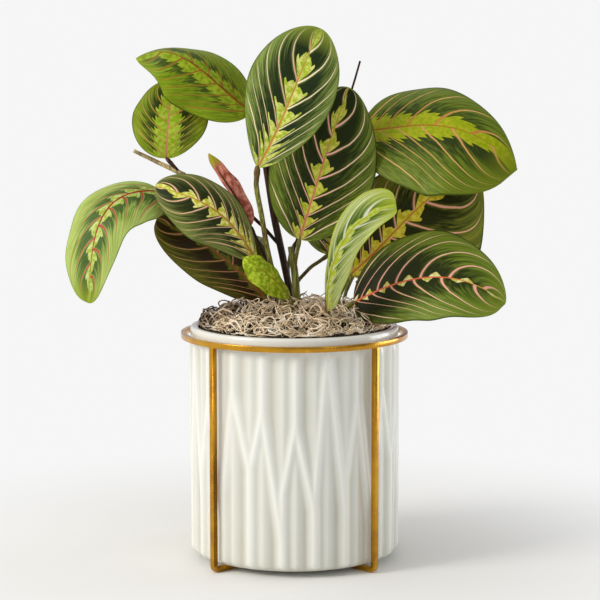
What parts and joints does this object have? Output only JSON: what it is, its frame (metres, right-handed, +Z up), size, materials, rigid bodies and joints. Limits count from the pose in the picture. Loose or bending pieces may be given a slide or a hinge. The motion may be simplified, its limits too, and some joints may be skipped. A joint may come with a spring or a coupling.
{
  "type": "potted prayer plant",
  "caption": "Prayer plant with broad red-veined leaves, growing from moss in a pleated ceramic pot on a square-bar metal stand.",
  "frame": {"origin": "centre of the stand's underside, where its two wires cross", "axes": "+Z up, -Y to the front that the picture shows, +X to its right"},
  "size_m": [0.3459, 0.2092, 0.4143],
  "materials": {
    "glazed_stoneware": "glossy off-white glaze",
    "gold_lacquered_steel": "satin gold lacquer",
    "potting_soil": "loose dark potting soil",
    "dried_moss": "curly dried tan moss over dark brown",
    "leaf_patterned_green": "satin leaf, dark green blotches, lime band along the midrib, pink-cream veins",
    "leaf_young_lime": "young lime-green leaf with red or cream veins",
    "leaf_underside_red": "dull pink-red underside of a furled young leaf",
    "stem_green": "olive green petiole, slightly hairy",
    "stem_purple_brown": "dark purple-brown stem"
  },
  "bodies": {
    "root": {"pot": "glazed_stoneware", "stand_ring": "gold_lacquered_steel", "stand_wire_through": "gold_lacquered_steel", "stand_wire_left": "gold_lacquered_steel", "stand_wire_right": "gold_lacquered_steel", "soil": "potting_soil", "moss": "dried_moss", "stem_dark": "stem_purple_brown", "stem_green": "stem_green", "flower_spike": "stem_purple_brown", "leaf_top_centre": "leaf_patterned_green", "leaf_centre_tall": "leaf_patterned_green", "leaf_left_top": "leaf_patterned_green", "leaf_left_round": "leaf_patterned_green", "leaf_right_upper": "leaf_patterned_green", "leaf_right_middle": "leaf_patterned_green", "leaf_right_lower": "leaf_patterned_green", "leaf_rolled_front": "leaf_young_lime", "leaf_furled_red": "leaf_underside_red", "leaf_left_middle": "leaf_patterned_green", "leaf_left_drooping": "leaf_young_lime", "leaf_left_lower": "leaf_patterned_green", "leaf_small_lime": "leaf_young_lime", "leaf_back_centre": "leaf_patterned_green", "leaf_back_right": "leaf_patterned_green", "leaf_back_left": "leaf_patterned_green", "leaf_back_low_right": "leaf_patterned_green", "leaf_back_low": "leaf_patterned_green", "petiole_top_centre": "stem_green", "petiole_right_upper": "stem_green", "petiole_right_middle": "stem_green", "petiole_right_lower": "stem_green", "petiole_rolled_front": "stem_green", "petiole_furled_red": "stem_purple_brown", "petiole_left_middle": "stem_green", "petiole_left_drooping": "stem_purple_brown", "petiole_left_lower": "stem_green", "petiole_small_lime": "stem_green", "petiole_back_centre": "stem_green", "petiole_back_right": "stem_green", "petiole_back_left": "stem_green", "petiole_back_low_right": "stem_green", "petiole_back_low": "stem_green"}
  },
  "joints": []
}
